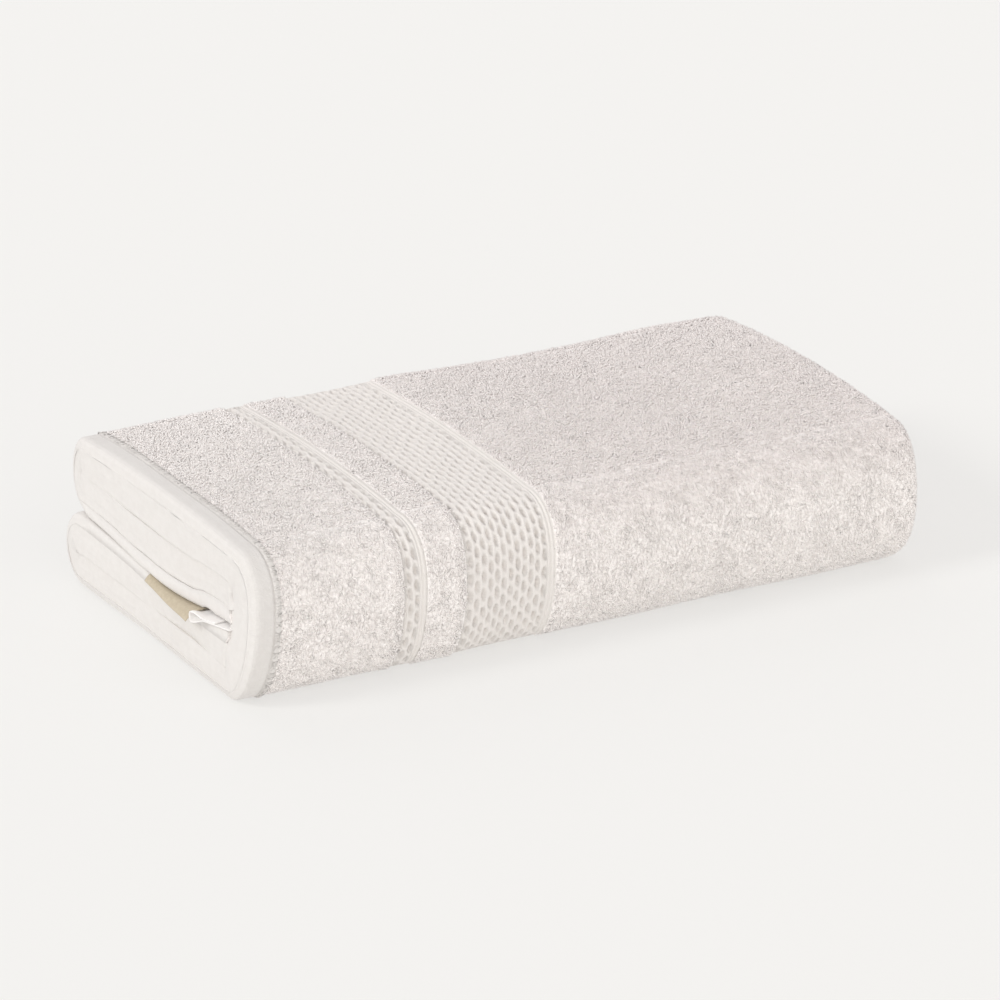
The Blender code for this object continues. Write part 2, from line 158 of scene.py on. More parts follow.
def slot_roof(x, y):
    drop_start = CARE_LABEL_UPPER_END_Y - LABEL_SLOT_MARGIN
    drop = SLOT_END_DROP * smooth_step(drop_start, SIDE_EDGE_OUTER_Y, y)
    return slot_height(x, y) + slot_half(x, y) - drop * (1 - past_labels(x))


def slot_floor(x, y):
    return slot_height(x, y) - slot_half(x, y)


def upper_middle(x, y):
    return (top_height(x, y) + slot_roof(x, y)) / 2


def lower_middle(x, y):
    return (foot_height(x) + slot_floor(x, y)) / 2


def near_axis(x):
    wave = NEAR_WAVE * np.sin(2 * math.pi * x / NEAR_WAVE_LENGTH + NEAR_WAVE_PHASE)
    return NEAR_FOLD_DEPTH + wave - draw_in(x)


# Each segment gives (y, z) of the pack's outer face and of its inner face at a share of its way.


def upper_flap(x, share):
    outer_y = blend(SIDE_EDGE_OUTER_Y, FAR_CENTRE_Y, share)
    inner_y = blend(SIDE_EDGE_INNER_Y, FAR_CENTRE_Y, share)
    return outer_y, slot_roof(x, outer_y), inner_y, upper_middle(x, inner_y) - PACK_GAP / 2


def far_fold(x, share, low, high):
    angle = blend(-math.pi / 2, math.pi / 2, share)
    middle = (high + low) / 2
    outer = fold_arc(angle, FAR_FOLD_DEPTH - draw_in(x), (high - low) / 2, FAR_SQUARENESS)
    core = fold_arc(angle, FAR_FOLD_CORE, PACK_GAP / 2, FAR_SQUARENESS)
    return FAR_CENTRE_Y + outer[0], middle + outer[1], FAR_CENTRE_Y + core[0], middle + core[1]


def upper_far_fold(x, share):
    return far_fold(x, share, slot_roof(x, FAR_CENTRE_Y), top_height(x, FAR_CENTRE_Y))


def top(x, share):
    y = blend(FAR_CENTRE_Y, NEAR_CENTRE_Y, share)
    return y, top_height(x, y), y, upper_middle(x, y) + PACK_GAP / 2


def near_fold(x, share):
    angle = blend(math.pi / 2, -math.pi / 2, share)
    y = NEAR_CENTRE_Y
    low, high = foot_height(x), top_height(x, y)
    core_low, core_high = lower_middle(x, y) - PACK_GAP / 2, upper_middle(x, y) + PACK_GAP / 2
    middle, core_middle = (high + low) / 2, (core_high + core_low) / 2
    outer = fold_arc(angle, -near_axis(x), (high - low) / 2, NEAR_SQUARENESS)
    core = fold_arc(angle, NEAR_WALL - near_axis(x), (core_high - core_low) / 2, NEAR_SQUARENESS)
    return y + outer[0], middle + outer[1], y + core[0], core_middle + core[1]


def bottom(x, share):
    y = blend(NEAR_CENTRE_Y, FAR_CENTRE_Y, share)
    return y, foot_height(x), y, lower_middle(x, y) - PACK_GAP / 2


def lower_far_fold(x, share):
    return far_fold(x, share, foot_height(x), slot_floor(x, FAR_CENTRE_Y))


def lower_flap(x, share):
    outer_y = blend(FAR_CENTRE_Y, SIDE_EDGE_OUTER_Y, share)
    inner_y = blend(FAR_CENTRE_Y, SIDE_EDGE_INNER_Y, share)
    return outer_y, slot_floor(x, outer_y), inner_y, lower_middle(x, inner_y) + PACK_GAP / 2


# (segment, the solid's own steps in it), in order round the section.
SEGMENTS = (
    (upper_flap, 11),
    (upper_far_fold, 7),
    (top, 5),
    (near_fold, 11),
    (bottom, 3),
    (lower_far_fold, 7),
    (lower_flap, 11),
)
FLAP_Y = (SIDE_EDGE_OUTER_Y, SIDE_EDGE_OUTER_Y + EDGE_STEP, *FLAP_STEPS_Y, FAR_CENTRE_Y)
FLAP_SHARES = [(y - SIDE_EDGE_OUTER_Y) / (FAR_CENTRE_Y - SIDE_EDGE_OUTER_Y) for y in FLAP_Y]


def path_share(number, share):
    """The share of the way round the section, counted in the solid's own steps."""
    steps = [s for _, s in SEGMENTS]
    if number == 0:
        within = np.interp(share, FLAP_SHARES, range(len(FLAP_SHARES)))
    elif number == len(SEGMENTS) - 1:
        within = steps[-1] - np.interp(1 - share, FLAP_SHARES, range(len(FLAP_SHARES)))
    else:
        within = share * steps[number]
    return (sum(steps[:number]) + within) / sum(steps)


# The fold across in three: the outer ply turns at the fold end into the inner ply, and that one
# turns at the hem end into the middle ply.

MIDDLE_PLY, INNER_PLY = 1.5, 2.5  # the depths of their middles, in plies
FOLD_END_RADIUS, HEM_END_RADIUS = PLY, PLY / 2
FOLD_END_CENTRE_X = FOLD_X - FOLD_END_RADIUS - PLY / 2
HEM_END_CENTRE_X = HEM_X + INNER_FOLD_INSET + HEM_END_RADIUS + PLY / 2
OUTER_RUN = FOLD_END_CENTRE_X - HEM_X
INNER_START = OUTER_RUN + math.pi * FOLD_END_RADIUS
HEM_FOLD_START = INNER_START + FOLD_END_CENTRE_X - HEM_END_CENTRE_X
MIDDLE_START = HEM_FOLD_START + math.pi * HEM_END_RADIUS


def fold_across(v):
    """(x, depth, normal x, normal depth) of the cloth's middle at each v."""
    turn = np.clip((v - OUTER_RUN) / FOLD_END_RADIUS, 0, math.pi)
    x = np.where(v < OUTER_RUN, HEM_X + v, FOLD_END_CENTRE_X + FOLD_END_RADIUS * np.sin(turn))
    depth = MIDDLE_PLY - np.cos(turn)
    normal_x, normal_depth = np.sin(turn), -np.cos(turn)
    x = np.where(v > INNER_START, FOLD_END_CENTRE_X - (v - INNER_START), x)
    back = np.clip((v - HEM_FOLD_START) / HEM_END_RADIUS, 0, math.pi)
    turning = v > HEM_FOLD_START
    x = np.where(turning, HEM_END_CENTRE_X - HEM_END_RADIUS * np.sin(back), x)
    x = np.where(v > MIDDLE_START, HEM_END_CENTRE_X + (v - MIDDLE_START), x)
    depth = np.where(turning, (MIDDLE_PLY + INNER_PLY) / 2 + np.cos(back) / 2, depth)
    normal_x = np.where(turning, -np.sin(back), normal_x)
    return x, depth, normal_x, np.where(turning, np.cos(back), normal_depth)


def stray(x, y, z, along):
    """How far a point strays along X: the lines across wave, and the hem end leans outwards."""
    wave = LINE_WAVE * np.sin(2 * math.pi * along * SECTION_PATH / LINE_WAVE_LENGTH)
    wave = wave * smooth_step(FOLD_X, FOLD_X - LINE_WAVE_FADE, x)
    far_foot = smooth_step(FAR_FOOT_TOP, 0, z / HEIGHT) * smooth_step(0, FAR_CENTRE_Y, y)
    lean = HEM_END_LEAN * (z / HEIGHT - HEM_END_LEAN_PIVOT) - FAR_FOOT_LEAN * far_foot
    return wave + lean * smooth_step(HEM_END_LEAN_REACH, 0, x - HEM_X)


def face_points(number, share, v, side, half):
    """Points of the cloth's face on that side, half off its middle, at one place of the section."""
    x, depth, normal_x, normal_depth = fold_across(v)
    x = x + side * half * normal_x
    outer_y, outer_z, inner_y, inner_z = SEGMENTS[number][0](x, share)
    depth = (depth + side * half / PLY * normal_depth) / PLIES
    y = blend(outer_y, inner_y, depth)
    z = blend(outer_z, inner_z, depth)
    x = x + stray(x, y, z, path_share(number, share))
    return grid_of(x, y, z) + TO_FRAME


# The cloth's zones, by distance from its outer hem edge, and the relief of its front face. A level is
# a height over the tips of the pile, so it is below 0 where the face lies under them.

HEM_LIP, SEAM_GROOVE, SEAM_END = 0.0066, 0.0074, 0.0096
NARROW = (0.0509, 0.0590)
WIDE = (0.0724, 0.1038)
PLAIN_RIBS = ((0.0562, 0.0572), (0.0574, 0.0586), (0.1007, 0.1018), (0.1020, 0.1033))
PILE_MARGIN = 0.0001  # between a zone and the pile
ZONE_RAMP, ZONE_LEVEL = 0.00035, -0.00045
RIB_DEPTH, RIB_REACH = 0.00040, 1.12  # the reach is a share of half a rib's width
GROUND_LEVEL = -0.00042  # of the ground that the pile stands on
ROLL_RISE, ROLL = 0.00018, 0.0016  # the pile rolls over beside the borders
CREASE_DEPTH, CREASE = 0.0011, 0.00045  # at a border's first edge
LIE, LIE_LENGTHS = 0.00010, (0.030, 0.08)  # slow waves all over

# The honeycomb.
CELL_V, CELL_U = 0.00234, 0.00533  # from column to column, and from cell to cell in a column
CELL_DEPTH = 0.00170
NARROW_CELLS, WIDE_CELLS = (0.05285, 2), (0.0741, 12)  # (the first column's middle, columns)
CELL_STRAY_U, CELL_STRAY_V = 0.0004, 0.00012
FIRST_CELLS, LAST_CELLS = (-0.62, -0.42), (0.38, 0.58)  # where the outer columns end, in columns
ACROSS_RIBS = 0.9  # weight of the ribs between columns
CELL_WALL = (0.15, 0.95)

# The hem and its seam.
HEM_LEVEL, HEM_RISE, HEM_RISE_START = -0.00030, 0.00010, 0.0045
SEAM_LEVEL, SEAM_RAMP = -0.00008, 0.0004
SEAM_LINES = ((SEAM_GROOVE, 0.0006), (SEAM_END, 0.0001))  # (place, depth)
SEAM_LINE_WIDTH = 0.0003

# Inside the folds, and the inner fold at the hem end, which is pressed square.
HIDDEN_LEVEL, HIDDEN_RAMP = -0.0002, (INNER_START + 0.004, INNER_START + 0.009)
FOLD_LEVEL, FOLD_MARGIN, FOLD_RAMP = 0.00062, 0.006, 0.004
FOLD_SQUARENESS = 40  # 2 is round
FOLD_REACH = 0.0003
CORNERS, CORNER_SPREAD = (math.pi / 4, 3 * math.pi / 4), math.radians(7)
CORNER_FILL = 0.00032  # at its two corners, which press on their neighbours
BACK_FILL = 0.00004  # more, beside the outer layer
BACK_FILL_ANGLES = (math.pi - 1.2, math.pi - 0.4)
BACK_FILL_END = (MIDDLE_START + 0.006, MIDDLE_START + 0.002)
STREAKS, STREAK_LENGTHS, STREAK_STRETCH = 0.00006, (0.0012, 0.0030), 0.12

# The near side swells into the hollow at the side edges.
SIDE_SWELL, SWELL_SHAPE = 0.0036, 0.8
SWELL_START, SWELL_END_ANGLES = (HEM_FOLD_START - 0.008, HEM_FOLD_START - 0.002), (2.2, 0.8)

# The slot: from its middle to the cloth, off a label, beside one and past its upper layer's end.
CLOSED_SLOT, LABEL_CLEARANCE, PAST_UPPER_LEAF = 0.00003, 0.00034, 0.0001
SLOT_RAMP = 0.004  # at the small folds
CARE_ROOM, WOVEN_ROOM = (0.0025, 0.0005), (0.0035, 0.0010)  # where it widens, along Y from a label
UPPER_LEAF_ROOM = (-0.0005, -0.0035)  # and where it narrows past the upper layer's end
CARE_LABEL_LEAVES = (0.0006, -0.0019)  # the layers' heights over the slot's middle, at the fold
UPPER_LEAF_FALL, LOWER_LEAF_RISE, LEAVES_CLOSE = 0.0008, 0.0011, (0.0010, 0.0065)  # behind the fold


WAVES = 9  # summed


def waves(u, v, lengths, seed):
    """Slow random waves of about unit height, of wavelengths from lengths[0] to lengths[1]."""
    dice = np.random.default_rng(seed)
    total = 0.0
    for _ in range(WAVES):
        angle, phase = dice.uniform(0, 2 * math.pi, 2)
        length = dice.uniform(*lengths)
        way = u * math.cos(angle) + v * math.sin(angle)
        total = total + np.sin(2 * math.pi * way / length + phase)
    return total / math.sqrt(WAVES / 2)


def honeycomb(u, v, first, columns):
    """0 on the ribs and 1 in the middle of the cells, in a border of that many columns."""
    u = u + CELL_STRAY_U * waves(u, v, (0.012, 0.04), 11)
    v = v + CELL_STRAY_V * waves(u, v, (0.010, 0.03), 12)
    across = (v - first) / CELL_V
    along = u / CELL_U
    net = np.cos(2 * math.pi * along) * np.cos(math.pi * across)
    net = net + ACROSS_RIBS * np.cos(2 * math.pi * across)
    inside = smooth_step(*FIRST_CELLS, across)
    inside = inside * smooth_step(columns - LAST_CELLS[0], columns - LAST_CELLS[1], across)
    return smooth_step(*CELL_WALL, net) * inside


def between(start, end, v, ramp):
    """1 between start and end, with a ramp inside each."""
    return smooth_step(start, start + ramp, v) * smooth_step(end, end - ramp, v)


def fold_angle(v):
    """How far the cloth has turned at the inner fold, 0 to half a turn."""
    return np.clip((v - HEM_FOLD_START) / HEM_END_RADIUS, 0, math.pi)


def hem_level(v):
    level = HEM_LEVEL + HEM_RISE * smooth_step(HEM_RISE_START, HEM_LIP, v)
    level = blend(level, SEAM_LEVEL, smooth_step(SEAM_GROOVE, SEAM_GROOVE + SEAM_RAMP, v))
    for line, depth in SEAM_LINES:
        level = level - depth * np.exp(-(((v - line) / SEAM_LINE_WIDTH) ** 2))
    return level


def pressed_fold(level, u, v):
    """The level with the inner fold pressed square, its corners filled and fine streaks along it."""
    angle, power = fold_angle(v), FOLD_SQUARENESS
    blunt = (np.abs(np.cos(angle)) ** power + np.sin(angle) ** power) ** (-1 / power)
    level = level + (HEM_END_RADIUS + PLY_HALF) * (blunt - 1) + FOLD_REACH * np.sin(angle) ** 2
    for corner in CORNERS:
        level = level + CORNER_FILL * np.exp(-(((angle - corner) / CORNER_SPREAD) ** 2))
    at_back = smooth_step(*BACK_FILL_ANGLES, angle) * smooth_step(*BACK_FILL_END, v)
    streaks = STREAKS * np.sin(angle) * waves(STREAK_STRETCH * u, v, STREAK_LENGTHS, 31)
    return level + BACK_FILL * at_back + streaks


def relief(u, v):
    """The level of the front face."""
    level = np.full(np.broadcast(u, v).shape, GROUND_LEVEL)
    for start, _ in (NARROW, WIDE):
        level = level + ROLL_RISE * np.exp(-(((v - start + ROLL) / ROLL) ** 2))
    for (start, end), cells in ((NARROW, NARROW_CELLS), (WIDE, WIDE_CELLS)):
        depth = ZONE_LEVEL - CELL_DEPTH * honeycomb(u, v, *cells)
        depth = depth - CREASE_DEPTH * np.exp(-(((v - start - CREASE) / CREASE) ** 2))
        level = blend(level, depth, between(start, end, v, ZONE_RAMP))
    for start, end in PLAIN_RIBS:
        middle, half = (start + end) / 2, (end - start) / 2
        off = np.abs(v - middle) / half
        rib = ZONE_LEVEL - RIB_DEPTH * np.clip(off, 0, 1) ** 3
        level = np.where(off < RIB_REACH, rib, level)
    level = np.where(v < SEAM_END, hem_level(v), level) + LIE * waves(u, v, LIE_LENGTHS, 21)
    level = blend(level, HIDDEN_LEVEL, smooth_step(*HIDDEN_RAMP, v))
    fold = (HEM_FOLD_START - FOLD_MARGIN, MIDDLE_START + FOLD_MARGIN)
    level = blend(level, FOLD_LEVEL, between(*fold, v, FOLD_RAMP))
    return blend(pressed_fold(level, u, v), 0.0, in_slot(u) * (v < OUTER_RUN))


def press(u, v):
    """How far the front face is pushed out of the pack: into the slot, or at the near side inwards."""
    round_near = np.clip((u - U_NEAR[0]) / (U_NEAR[1] - U_NEAR[0]), 0, 1)
    inside = smooth_step(*SWELL_START, v) * smooth_step(*SWELL_END_ANGLES, fold_angle(v))
    swell = SIDE_SWELL * np.sin(math.pi * round_near) ** SWELL_SHAPE * inside
    return slot_relief(u, v) * in_slot(u) * (v < OUTER_RUN) - swell


def in_slot(u, before=SLOT_RAMP, after=SLOT_RAMP):
    """1 where the cloth faces the slot. It rises from before the flaps begin to after it."""
    upper = smooth_step(U_FLAPS[0] + before, U_FLAPS[0] - after, u)
    lower = smooth_step(U_FLAPS[1] - before, U_FLAPS[1] + after, u)
    return np.maximum(upper, lower)


def care_leaves(y):
    """Heights of the care label's two layers over the slot's middle: they close behind the fold."""
    closed = smooth_step(*LEAVES_CLOSE, CARE_LABEL_FOLD_Y - y)
    upper, lower = CARE_LABEL_LEAVES
    return upper - UPPER_LEAF_FALL * closed, lower + LOWER_LEAF_RISE * closed


def near_label(edge_y, room, y):
    """1 beside a label and 0 away from it, over a stretch along Y from its edge."""
    return smooth_step(edge_y + room[0], edge_y + room[1], y)


def slot_relief(u, v):
    """The cloth swells to close the slot, and lies close round the labels."""
    x, y = HEM_X + v, np.interp(u, ROW_U, ROW_Y)
    upper = u < ROW_U[-1] / 2
    upper_leaf, lower_leaf = care_leaves(y)
    at_care = np.where(upper, upper_leaf, -lower_leaf) + LABEL_CLEARANCE
    past_leaf = upper * near_label(CARE_LABEL_UPPER_END_Y, UPPER_LEAF_ROOM, y)
    at_care = blend(at_care, PAST_UPPER_LEAF, past_leaf)
    at_woven = blend(CLOSED_SLOT, LABEL_CLEARANCE, near_label(WOVEN_LABEL_Y[1], WOVEN_ROOM, y))
    room = blend(at_woven, at_care, near_label(CARE_LABEL_FOLD_Y, CARE_ROOM, y))
    room = blend(room, CLOSED_SLOT, past_labels(x))
    roof_drop = slot_height(x, y) + slot_half(x, y) - slot_roof(x, y)
    return slot_half(x, y) - upper * roof_drop - room


def is_pile(v):
    """Where the cloth has pile."""
    plain = v < SEAM_END + PILE_MARGIN
    for start, end in (NARROW, WIDE):
        plain = plain | (v > start - PILE_MARGIN) & (v < end + PILE_MARGIN)
    return ~plain


# The rows round the section: (segment number, share, whether it is a coarse row). Columns outside
# the borders have points on the coarse rows only.

FINE_STEP = 0.00082
COARSE_EVERY = 3
FLAP_STEP = 0.0024
SIDE_STEPS = (0.0003, 0.0007, 0.0012)  # closer rows beside the side edges
SLOT_ROWS, SLOT_STEP = 0.0270, 0.0016  # and as far as the care label reaches
FLAPS = (0, len(SEGMENTS) - 1)
NEAR_SEGMENT = 3
MEASURED_SHARES = 161  # places at which a segment's length is measured


def row_places(number, length):
    """Distances of a segment's rows from its start."""
    if number not in FLAPS:
        steps = COARSE_EVERY * round(length / FINE_STEP / COARSE_EVERY)
        return [length * i / steps for i in range(steps + 1)]
    steps = round(length / FLAP_STEP)
    far = [length * i / steps for i in range(steps + 1) if length * i / steps > SLOT_ROWS]
    places = sorted({0.0, *SIDE_STEPS, *np.arange(SIDE_STEPS[-1], SLOT_ROWS, SLOT_STEP), *far})
    return places if number == FLAPS[0] else [length - place for place in reversed(places)]


def section_rows():
    """Rows a step apart round the outer face, and each row's distance from the first."""
    rows, lengths, start = [], [], 0.0
    middle = np.array([LENGTH / 2])
    for number in range(len(SEGMENTS)):
        shares = np.linspace(0, 1, MEASURED_SHARES)
        points = np.array([face_points(number, s, middle, 1, PLY / 2)[0] for s in shares])
        steps = np.linalg.norm(np.diff(points, axis=0), axis=1)
        run = np.concatenate([[0], np.cumsum(steps)])
        for i, place in enumerate(row_places(number, run[-1])):
            if rows and i == 0:
                continue
            coarse = number in FLAPS or i % COARSE_EVERY == 0
            rows.append((number, float(np.interp(place, run, shares)), coarse))
            lengths.append(start + place)
        start += run[-1]
    return rows, np.array(lengths)


def steps_between(start, end, step):
    count = max(1, round((end - start) / step))
    return [start + (end - start) * i / count for i in range(count)]


BORDER_LEAD, RIB_LEAD, BORDER_TAIL = 0.0003, 0.0002, 0.0004  # fine columns round a border
BORDER_STEP, RIB_STEP = 0.00045, 0.00025
BEND_MARGIN, BEND_STEP = 0.010, 0.0020  # closer columns beside the folds
# Degrees round the inner fold, closer together at its two corners.
FOLD_ANGLES = (0, 18, 32, 40, 43, 45, 47, 50, 60, 75, 90)
FOLD_ANGLES += (105, 120, 130, 133, 135, 137, 140, 148, 162)


def cloth_columns():
    """(v, whether it has a point on every row) for each column, from hem edge to hem edge."""
    edges = (
        (0.0, 0.0003, False),
        (0.0012, 0.0010, False),
        (0.0064, 0.00022, False),
        (0.0102, 0.0026, False),
        (NARROW[0] - BORDER_LEAD, BORDER_STEP, True),
        (PLAIN_RIBS[0][0] - RIB_LEAD, RIB_STEP, True),
        (NARROW[1] + BORDER_TAIL, 0.0026, False),
        (WIDE[0] - BORDER_LEAD, BORDER_STEP, True),
        (PLAIN_RIBS[2][0] - RIB_LEAD, RIB_STEP, True),
        (WIDE[1] + BORDER_TAIL, 0.0030, False),
        (OUTER_RUN, 0.0010, False),
        (INNER_START, BEND_STEP, False),
        (INNER_START + BEND_MARGIN, 0.035, False),
        (HEM_FOLD_START - BEND_MARGIN, BEND_STEP, False),
        (HEM_FOLD_START, None, False),
        (MIDDLE_START, BEND_STEP, False),
        (MIDDLE_START + BEND_MARGIN, 0.040, False),
        (CUT[1], None, False),
    )
    columns = [(HEM_FOLD_START + HEM_END_RADIUS * math.radians(a), False) for a in FOLD_ANGLES]
    for (start, step, fine), (end, _, _) in zip(edges, edges[1:]):
        if step is not None:
            columns += [(v, fine) for v in steps_between(start, end, step)]
    return sorted(columns) + [(CUT[1], False)]


HEM_ROUNDING, SLOT_HEM_ROUNDING, BACK_HEM_ROUNDING, SIDE_ROUNDING = 0.0022, 0.0006, 0.0004, 0.0009
# Shares of the half thickness left at the rim: below 0 the front is rounded past the middle.
SIDE_LEFT, HEM_LEFT, SLOT_HEM_LEFT, BACK_HEM_LEFT = 0.60, -0.75, 0.55, 0.97
FLAP_RAMP = 0.006


def arc(distance, reach):
    """0 at an edge and 1 from reach inwards, round like a quarter of an ellipse."""
    share = np.clip(1 - distance / reach, 0, 1)
    return np.sqrt(1 - share * share)


def rounded_half(u, v, hem_left, hem_reach):
    """Half the cloth's thickness, rounded off at its hem edges and its side edges."""
    hem = blend(hem_left, 1.0, arc(np.minimum(v, CUT[1] - v), hem_reach))
    side = blend(SIDE_LEFT, 1.0, arc(np.minimum(u, ROW_U[-1] - u), SIDE_ROUNDING))
    return PLY_HALF * np.minimum(hem, side)


def front_half(u, v):
    """How far the front face is off the cloth's middle: rounded down to the back at the hem."""
    flap = in_slot(u, 0.0, FLAP_RAMP)
    reach = blend(HEM_ROUNDING, SLOT_HEM_ROUNDING, flap)
    return rounded_half(u, v, blend(HEM_LEFT, SLOT_HEM_LEFT, flap), reach)


def back_half(u, v):
    return rounded_half(u, v, BACK_HEM_LEFT, BACK_HEM_ROUNDING)


def grid_normals(points):
    """Unit normals of a grid of points, out of its front face."""
    down = np.gradient(points, axis=0)
    along = np.gradient(points, axis=1)
    return unit(np.cross(down, along))


def front_row(row, u):
    number, share, _ = row
    return face_points(number, share, COLUMN_V, 1, front_half(u, COLUMN_V))


ROWS, ROW_U = section_rows()
COLUMNS = cloth_columns()
COLUMN_V = np.array([v for v, _ in COLUMNS])
SEGMENT_OF_ROW = np.array([number for number, _, _ in ROWS])
ROW_Y = np.array([float(SEGMENTS[n][0](LENGTH / 2, s)[0]) for n, s, _ in ROWS])
U_NEAR = ROW_U[SEGMENT_OF_ROW == NEAR_SEGMENT][[0, -1]]
U_FLAPS = (ROW_U[SEGMENT_OF_ROW == FLAPS[0]][-1], ROW_U[SEGMENT_OF_ROW == FLAPS[1]][0])
FRONT = np.array([front_row(row, u) for row, u in zip(ROWS, ROW_U)])
NORMALS = grid_normals(FRONT)
PLAIN_V = 0.03  # a place along the cloth where its face is plain
OUTWARD = NORMALS[:, np.searchsorted(COLUMN_V, PLAIN_V)]  # out of the pack, on each row


def on_cloth(grid, u, v):
    """A grid's values at places (u, v) of the cloth, between its points."""
    row = np.clip(np.interp(u, ROW_U, np.arange(len(ROW_U))), 0, len(ROW_U) - 1.001)
    column = np.clip(np.interp(v, COLUMN_V, np.arange(len(COLUMN_V))), 0, len(COLUMN_V) - 1.001)
    r, c = row.astype(int), column.astype(int)
    a, b = (row - r)[:, None], (column - c)[:, None]
    near = grid[r, c] * (1 - b) + grid[r, c + 1] * b
    far = grid[r + 1, c] * (1 - b) + grid[r + 1, c + 1] * b
    return near * (1 - a) + far * a


# Making meshes.

LOWEST = 0.00004  # no point lies lower over the surface under the towel
MAP_SPAN = 0.72  # metres of cloth across a whole map
FRONT_MAP = 0.98  # the share of its map that the cloth's front takes
BACK_MAP, BACK_MAP_SPAN, BACK_MAP_START = 0.25, 0.6, 0.72  # the back's, beside it
ROUGH_PILE, ROUGH_FOLD = 0.00004, 0.00003  # unevenness under the pile and on the inner fold
BACK_EVERY = 6  # the back has one column in so many, away from the edges and folds
PILE_KIND, WEAVE_KIND, HEM_KIND = 0, 1, 2  # the cloth's materials


def add_item(name, data):
    item = bpy.data.objects.new(name, data)
    bpy.context.scene.collection.objects.link(item)
    return item


def add_piece(name, points, faces, materials, maps):
    """A smooth mesh piece. maps is each point's place on its map."""
    data = bpy.data.meshes.new(name)
    points = np.maximum(points, (-np.inf, -np.inf, LOWEST))
    data.from_pydata(points.tolist(), [], [list(map(int, f)) for f in faces])
    for material in materials:
        data.materials.append(material)
    corners = np.zeros(len(data.loops), np.int32)
    data.loops.foreach_get("vertex_index", corners)
    layer = data.uv_layers.new(name="OFBake")
    layer.uv.foreach_set("vector", maps.astype(np.float32)[corners].ravel())
    data.shade_smooth()
    data.update()
    return add_item(name, data)


def quads(number, turned=False):
    """The faces of a grid of numbered points, row by row."""
    ring = [number[:-1, :-1], number[:-1, 1:], number[1:, 1:], number[1:, :-1]]
    return np.stack(ring[:1] + ring[:0:-1] if turned else ring, -1).reshape(-1, 4)


def cells_between(number, fine, coarse_rows, j):
    """The front's faces between two columns. A coarse cell takes in a fine neighbour's points."""
    if fine[j] and fine[j + 1]:
        return [*quads(number[:, j : j + 2])]
    cells = []
    for i, k in zip(coarse_rows, coarse_rows[1:]):
        left, right = ([n for n in number[i : k + 1, c] if n >= 0] for c in (j, j + 1))
        cells.append((left[0], *right, *left[:0:-1]))
    return cells


def column_kinds():
    """The material at each column of the front."""
    kinds = np.where(is_pile(COLUMN_V), PILE_KIND, WEAVE_KIND)
    at_fold = (COLUMN_V > HEM_FOLD_START - 0.004) & (COLUMN_V < MIDDLE_START + 0.004)
    kinds[(COLUMN_V < SEAM_END) | at_fold | (COLUMN_V > CUT[1] - HEM_LIP)] = HEM_KIND
    return kinds


def back_grid(coarse_rows):
    """The rows and columns of the cloth's back, which is coarser than its front."""
    columns = {0, len(COLUMNS) - 1}
    for j, (v, fine) in enumerate(COLUMNS):
        if not fine and (j % BACK_EVERY == 0 or v > OUTER_RUN - 0.003 or v < 0.0015):
            columns.add(j)
    rows = coarse_rows[::2] if len(coarse_rows) % 2 else coarse_rows[:-1:2] + coarse_rows[-1:]
    return rows, sorted(columns)


